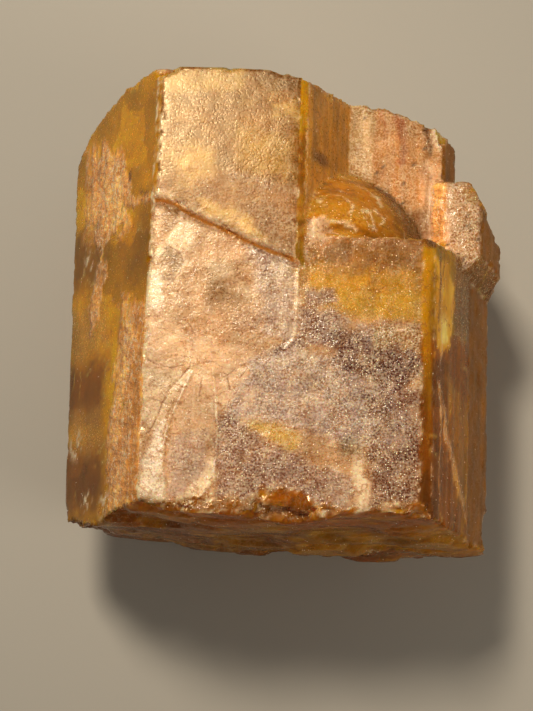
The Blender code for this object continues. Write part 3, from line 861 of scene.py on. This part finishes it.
def lay_glints(coat, edges, from_left):
    """Paler edges, partly wear and partly a painted highlight, painted beads of light along
    the rims, and painted glints on the left face.
    """
    points, faces = coat.points, coat.faces
    x, _, z = points.T
    # Cream near sharp edges: partly worn, chipped edges and partly a painted highlight.
    worn_and_lit_edges = smooth(0.45, 0.1, edges) * smooth(0, 0.4, fractal(points, 1.1, 97))
    coat.lay(0.55 * worn_and_lit_edges, CREAM)
    # Painted highlight: beads of light along the left rims of the front and back tops.
    front_left = np.hypot(x - LEFT_RIM, z - FRONT_TOP)
    left = np.minimum(front_left, np.hypot(x - BACK_LEFT_RIM, z - BACK_TOP))
    beads = smooth(-0.15, 0.25, fractal(points, 0.8, 71, 2)) * smooth(0.65, 0.25, left)
    coat.lay(beads * 0.9, PAINTED_GLINT)
    # Painted glints on the left face, around the spots in LEFT_GLINTS.
    sparkle = smooth(0, 0.3, fractal(points, 0.9, 77, 2))
    for down, back, reach in LEFT_GLINTS:
        gap = np.hypot(from_left[:, 0] - down, from_left[:, 1] - back)
        coat.lay(faces.left * sparkle * smooth(reach, 0.3 * reach, gap), PAINTED_GLINT)
    # Painted glints along the top's broken front rim, and near the rim on the front top and end.
    lip = np.abs(depth_in(coat.flat, RIM_CHIPS) + 0.9 * coat.ragged)
    glint = smooth(0, 0.35, fractal(points, 0.9, 73, 2)) * smooth(0.5, 0.15, lip)
    coat.lay(glint * faces.front_top * 0.9, PAINTED_GLINT)
    glint = smooth(0.3, 0.5, fractal(points, 0.9, 74, 2)) * smooth(3, 0.5, rim_distance(points))
    coat.lay(glint * (faces.front_top + faces.front_end) * 0.8, PAINTED_GLINT)
    # Painted highlight: beads of pale frost along the front top's right rim.
    right = np.hypot(x - RIGHT_RIM, z - FRONT_TOP)
    beads = smooth(0.1, 0.45, fractal(points, 0.8, 72, 2)) * smooth(0.5, 0.15, right)
    coat.lay(beads * 0.7, WHITE_FROST)


def paint(points, faces, edges):
    """Every point's look. The order matters, because each layer covers those before it."""
    _, y, z = points.T
    coat = Coat(points, faces, HONEY)
    from_left = warped(np.stack([(LEFT_TOP - z) / SIN_60, y], axis=1), points)
    from_right = warped(np.stack([(RIGHT_TOP - z) / SIN_60, y], axis=1), points)
    tops = faces.front_top + faces.back_top
    zone = smooth(-1, 1, depth_in(coat.flat, GLASSY_ZONE))
    lay_patches(coat, from_left, from_right)
    lay_clouding(coat, tops, zone)
    vary(coat)
    lay_stripes(coat, zone)
    lay_ends(coat)
    lay_lines(coat, tops)
    lay_glints(coat, edges, from_left)
    return coat


def relief(points, faces, edges, crumpled):
    """How far each point moves out along its normal, in mm."""
    push = 0.025 * fractal(points, 0.9, 21, 2)
    tops = faces.front_top + faces.back_top
    push += tops * 0.05 * fractal(points, 5, 22)
    push += (tops - 0.7 * faces.back_top) * 0.06 * fractal(points, 1.8, 37, 3)
    striped = faces.riser_wall + faces.low_top + faces.low_wall + 0.7 * faces.right
    push += striped * 0.14 * fractal(stretched(points, 1, 0.04, 1), 0.9, 23, 3)
    push += (faces.side_top + faces.side_wall) * 0.22 * fractal(points, 1.4, 24)
    push += faces.dome * (0.3 * fractal(points, 3, 25) + 0.1 * fractal(points, 1.3, 34, 3))
    push += crumpled**2 * 0.35 * fractal(stretched(points, 1, 0.7, 1), 1.5, 33, 3)

    layers = fractal(stretched(points, 0.25, 1, 1.2), 2.6, 26, 5)
    push += faces.front_end * 0.4 * layers
    bent = points + 1.2 * fractal(points, 2.5, 39)[:, None]
    first, second, value = cells(bent, (11, 9, 5), 131)
    push += faces.front_end * 0.75 * value * smooth(0, 0.16, second - first)
    push += faces.back_end * 0.35 * fractal(points, 2.2, 27)
    push += faces.back_end * 0.45 * value * smooth(0, 0.16, second - first)

    chipped = faces.front_top * smooth(0, 0.7, depth_in(points[:, :2], RIM_CHIPS))
    push -= chipped * (0.35 + 0.5 * fractal(points, 1.5, 38, 3))
    scoop = smooth(0, 0.45, fractal(stretched(points, 0.7, 1, 1), 2.4, 36, 3))
    push -= 0.9 * scoop * smooth(2.4, 0.3, rim_distance(points))
    nick = smooth(0, 0.7, fractal(points, 1.1, 29)) * smooth(1, 0.1, edges)
    push -= 0.4 * nick
    for line, width, deep in CARVED_LINES:
        push -= tops * deep * smooth(width * 1.5, 0, path_distance(points[:, :2], line))
    return push


# --- Materials ---


class Nodes:
    """Makes one material's nodes. Sizes are in mm, and a value is a socket or a plain one."""

    def __init__(self, name):
        self.material = bpy.data.materials.new(name)
        self.material.use_nodes = True
        self.tree = self.material.node_tree
        self.shader = self.tree.nodes["Principled BSDF"]

    def put(self, socket, value):
        """Links the value to the socket if it is a socket itself, or sets it."""
        if isinstance(value, bpy.types.NodeSocket):
            self.tree.links.new(value, socket)
        else:
            socket.default_value = value

    def shade(self, **values):
        """Gives the shader its values, each under its socket's name with _ for a space."""
        for name, value in values.items():
            self.put(self.shader.inputs[name.replace("_", " ")], value)

    def make(self, kind, **values):
        """A new node with the given plain settings and inputs."""
        made = self.tree.nodes.new("ShaderNode" + kind)
        for name, value in values.items():
            self.put(made.inputs[name.replace("_", " ")], value)
        return made

    def attribute(self, name, output="Fac"):
        """A value kept on the mesh."""
        made = self.make("Attribute")
        made.attribute_name = name
        return made.outputs[output]

    def place(self, *stretch):
        """The point's own place, stretched along its axes."""
        where = self.make("TexCoord").outputs["Object"]
        return self.make("Mapping", Vector=where, Scale=stretch or (1, 1, 1)).outputs["Vector"]

    def noise(self, where, size, detail=2, rough=0.5):
        """Noise with bumps of the given size."""
        scale = 1 / (size * MM)
        made = self.make("TexNoise", Vector=where, Scale=scale, Detail=detail, Roughness=rough)
        return made.outputs["Fac"]

    def ridges(self, where, size, width, detail=3):
        """Thin winding lines: 1 on the line, 0 beside it."""
        off = self.math("SUBTRACT", self.noise(where, size, detail, 0.55), 0.5)
        return self.spread(self.math("ABSOLUTE", off, 0), 0, width, 1, 0)

    def spread(self, value, low, high, to_low=0, to_high=1):
        """The value moved from one range to another and kept inside it."""
        return self.make(
            "MapRange", Value=value, From_Min=low, From_Max=high, To_Min=to_low, To_Max=to_high
        ).outputs["Result"]

    def math(self, operation, first, second):
        """One arithmetic step."""
        made = self.make("Math")
        made.operation = operation
        self.put(made.inputs[0], first)
        self.put(made.inputs[1], second)
        return made.outputs["Value"]

    def add(self, first, second):
        return self.math("ADD", first, second)

    def times(self, first, second):
        return self.math("MULTIPLY", first, second)

    def mixed(self, share, first, second, blend="MIX"):
        """Two colours mixed."""
        made = self.make("Mix")
        made.data_type = "RGBA"
        made.blend_type = blend
        self.put(made.inputs["Factor"], share)
        # 6, 7 and 2 are the node's colour sockets.
        self.put(made.inputs[6], first)
        self.put(made.inputs[7], second)
        return made.outputs[2]

    def bump(self, height, depth, strength=1):
        """A surface normal that follows the height."""
        made = self.make("Bump", Height=height, Distance=depth * MM, Strength=strength)
        return made.outputs["Normal"]


def crystal_material():
    """See-through golden beryl under the painted looks."""
    n = Nodes("golden_beryl")
    here = n.place()
    fine = n.noise(here, 0.32, 1, 0.6)
    across = n.noise(n.place(0.25, 1, 0.6), 0.45, 2, 0.6)
    along = n.noise(n.place(1, 0.2, 1), 0.5, 2, 0.6)
    folds = n.noise(n.place(0.6, 1.1, 0.6), 1.1, 3, 0.62)
    wrinkle = n.ridges(here, 1.6, 0.03, 2)
    grain, spark, crumple = (n.attribute(name) for name in ("grain", "spark", "crumple"))

    weave = n.add(n.times(across, 0.55), n.times(along, 0.45))
    speckle = n.add(n.times(fine, 0.62), n.times(weave, 0.38))
    body = n.attribute("tint", "Color")
    deep = n.mixed(1, body, (0.62, 0.45, 0.3, 1), "MULTIPLY")
    frosty = n.mixed(0.46, body, (1, 0.84, 0.62, 1))
    colour = n.mixed(grain, body, n.mixed(n.spread(speckle, 0.44, 0.57), deep, frosty))
    # Painted light and shade on crumpled flakes: lighter on the folds' crests, darker in hollows.
    folds_lit_and_shaded = n.mixed(crumple, (1, 1, 1, 1), n.spread(folds, 0.36, 0.64, 0.74, 1.32))
    colour = n.mixed(1, colour, folds_lit_and_shaded, "MULTIPLY")
    # Pale winding lines: whitish cracks, brightened as painted highlights.
    lit_wrinkle_lines = n.times(wrinkle, n.spread(grain, 0, 0.6, 0.03, 0.4))
    colour = n.mixed(lit_wrinkle_lines, colour, (1, 0.8, 0.55, 1))
    # Painted highlights along the ridges of the crumpled flakes.
    flake_highlights = n.times(n.ridges(n.place(1, 0.45, 1), 1.3, 0.03), crumple)
    colour = n.mixed(flake_highlights, colour, (1, 0.8, 0.54, 1))
    # Painted shade: dark orange lines near the flakes' ridges.
    under = n.times(n.times(n.ridges(n.place(1.2, 0.5, 1), 1, 0.05), crumple), 0.45)
    colour = n.mixed(under, colour, (0.62, 0.25, 0.05, 1))
    seam = n.ridges(n.place(0.8, 1, 1), 3, 0.02, 4)
    seam = n.times(seam, n.spread(folds, 0.44, 0.52, 0, 0.7))
    colour = n.mixed(seam, colour, (0.42, 0.17, 0.05, 1))

    # Painted sparkle: small cells turned pale, and less see-through, where a look carries sparkle.
    sparkle_cells = n.make("TexVoronoi", Vector=here, Scale=1 / (SPARKLE_SIZE * MM))
    chosen = n.make("SeparateColor", Color=sparkle_cells.outputs["Color"]).outputs["Red"]
    rare = n.math("LESS_THAN", chosen, n.times(spark, SPARKLE_SHARE))
    lit = n.times(n.spread(sparkle_cells.outputs["Distance"], 0.34, 0.22), rare)

    rough_grain = n.add(n.times(fine, 0.75), n.times(weave, 0.25))
    height = n.times(rough_grain, n.spread(grain, 0, 1, 0.08, 1))
    height = n.add(height, n.times(lit_wrinkle_lines, 0.22))
    rugged = n.spread(n.times(crumple, crumple), 0, 1, 0.1, 7)
    height = n.add(height, n.times(folds, rugged))

    n.shade(
        Base_Color=n.mixed(lit, colour, (1, 0.86, 0.66, 1)),
        Transmission_Weight=n.times(n.attribute("clear"), n.math("SUBTRACT", 1, lit)),
        Roughness=n.add(n.attribute("rough"), n.spread(speckle, 0.35, 0.65, -0.08, 0.08)),
        IOR=BERYL_IOR,
        Specular_IOR_Level=0.22,
        Specular_Tint=(1, 0.8, 0.52, 1),
        Subsurface_Weight=0.5,
        Subsurface_Radius=(1, 0.55, 0.25),
        Subsurface_Scale=2 * MM,
        Coat_Weight=n.times(spark, COAT_SHARE),
        Coat_Roughness=0.12,
        Coat_Normal=n.bump(n.noise(here, 0.7, 3, 0.6), 0.14),
        Normal=n.bump(height, 0.12, 0.8),
    )
    inside = n.make("VolumeAbsorption", Color=BERYL_ABSORBS, Density=BERYL_DENSITY)
    n.put(n.tree.nodes["Material Output"].inputs["Volume"], inside.outputs["Volume"])
    return n.material


def cloud_material():
    """Clouds of tiny hollows in the crystal, with clear gaps between them."""
    n = Nodes("inner_cloud")
    here = n.place()
    film = n.noise(here, 2.6, 4, 0.6)
    fine = n.spread(n.noise(here, 0.7, 3, 0.6), 0.35, 0.65)
    thick = n.add(n.attribute("cloud"), n.spread(film, 0.3, 0.7, -0.45, 0.25))
    n.shade(
        Base_Color=n.mixed(fine, (1, 0.56, 0.08, 1), (1, 0.74, 0.22, 1)),
        Roughness=0.4,
        Alpha=n.spread(thick, 0, 0.8, 0, 0.92),
    )
    return n.material


def floor_material():
    """A plain pale surface."""
    n = Nodes("pale_floor")
    n.shade(Base_Color=FLOOR_COLOUR, Roughness=0.7)
    return n.material


# --- The clouds inside ---


def depth_under(crystal, points):
    """How deep each point lies under the crystal's surface, in mm, and less than 0 outside it."""
    work = opened(crystal.data)
    tree = bvhtree.BVHTree.FromBMesh(work)
    work.free()
    spots = [Vector(p * MM) for p in points]
    found = [tree.find_nearest(spot) for spot in spots]
    return np.array([(hit[0] - spot).dot(hit[1]) for spot, hit in zip(spots, found)]) / MM


def add_cloud(solid, crystal, places, coat):
    """The clouds that lie a few mm under the faces, as one sheet that follows them."""
    piece = fine_solid(solid, "inner_cloud", CLOUD_PITCH)
    mesh = piece.data
    points = points_of(mesh)
    tree = tree_of(places)
    cloud = coat.values[[tree.find(Vector(p))[1] for p in points], GLOW]
    deep = CLOUD_DEPTH * (1 + 0.6 * fractal(points, 6, 81) + 0.25 * fractal(points, 1.8, 85))
    points = points - np.maximum(deep, LEAST_CLOUD_DEPTH)[:, None] * vectors_of(mesh, "normal")
    cloud[depth_under(crystal, points) < CLOUD_MARGIN] = 0
    set_points(mesh, points)
    keep_value(mesh, "cloud", cloud)
    work = opened(mesh)
    work.verts.ensure_lookup_table()
    bare = [work.verts[index] for index in np.flatnonzero(cloud < THINNEST_CLOUD)]
    bmesh.ops.delete(work, geom=bare, context="VERTS")
    work.to_mesh(mesh)
    work.free()
    mesh.shade_smooth()
    mesh.materials.append(cloud_material())
    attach(piece, "root")


# --- Stage ---


def aim(item, place_mm, aim_mm):
    """Adds a camera or lamp to the scene at a place, and turns it to face another."""
    item.location = Vector(place_mm) * MM
    item.rotation_euler = (Vector(aim_mm) * MM - item.location).to_track_quat("-Z", "Y").to_euler()
    bpy.context.scene.collection.objects.link(item)


def add_camera():
    """The camera looks down on the crystal's top faces."""
    data = bpy.data.cameras.new("camera")
    data.sensor_width = SENSOR_WIDTH
    data.lens = LENS
    data.clip_start = 0.01
    camera = bpy.data.objects.new("camera", data)
    aim(camera, CAMERA_PLACE, CAMERA_AIM)
    bpy.context.scene.camera = camera


def add_stage():
    """Floor, lights and surroundings."""
    bpy.ops.mesh.primitive_plane_add(size=FLOOR_SIZE, location=(0, 0, 0))
    floor = bpy.context.object
    floor.name = "floor"
    floor.data.materials.append(floor_material())
    floor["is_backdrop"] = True
    for name, place, target, size, power, colour in LAMPS:
        data = bpy.data.lights.new(name, "AREA")
        data.size = size * MM
        data.energy = power
        data.color = colour
        aim(bpy.data.objects.new(name, data), place, target)
    world = bpy.data.worlds.new("studio")
    world.use_nodes = True
    background = world.node_tree.nodes["Background"]
    background.inputs["Color"].default_value = STUDIO_COLOUR
    background.inputs["Strength"].default_value = STUDIO_STRENGTH
    scene = bpy.context.scene
    scene.world = world
    scene.view_settings.view_transform = "Standard"
    scene.view_settings.gamma = VIEW_GAMMA


# --- Making ---


def main():
    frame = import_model()
    cad_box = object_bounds()
    solid = merged_copy(frame["nodes"]["heliodor_crystal"])
    crystal = fine_solid(solid, "golden_crystal", VOXEL)
    refine(crystal)
    points = points_of(crystal.data)
    faces = face_shares(points, solid)
    edges = edge_distance(points, edge_points(solid))
    coat = paint(points, faces, edges)
    coat.store(crystal.data)
    push = relief(points, faces, edges, coat.values[:, CRUMPLE])
    shaped = points + push[:, None] * vectors_of(crystal.data, "normal")
    shaped[:, 2] = np.maximum(shaped[:, 2], LOWEST)
    set_points(crystal.data, shaped)
    crystal.data.shade_smooth()
    crystal.data.materials.append(crystal_material())
    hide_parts("heliodor_crystal")
    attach(crystal, "root")
    add_cloud(solid, crystal, points, coat)
    add_camera()
    add_stage()
    return cad_box


cad_box = main()
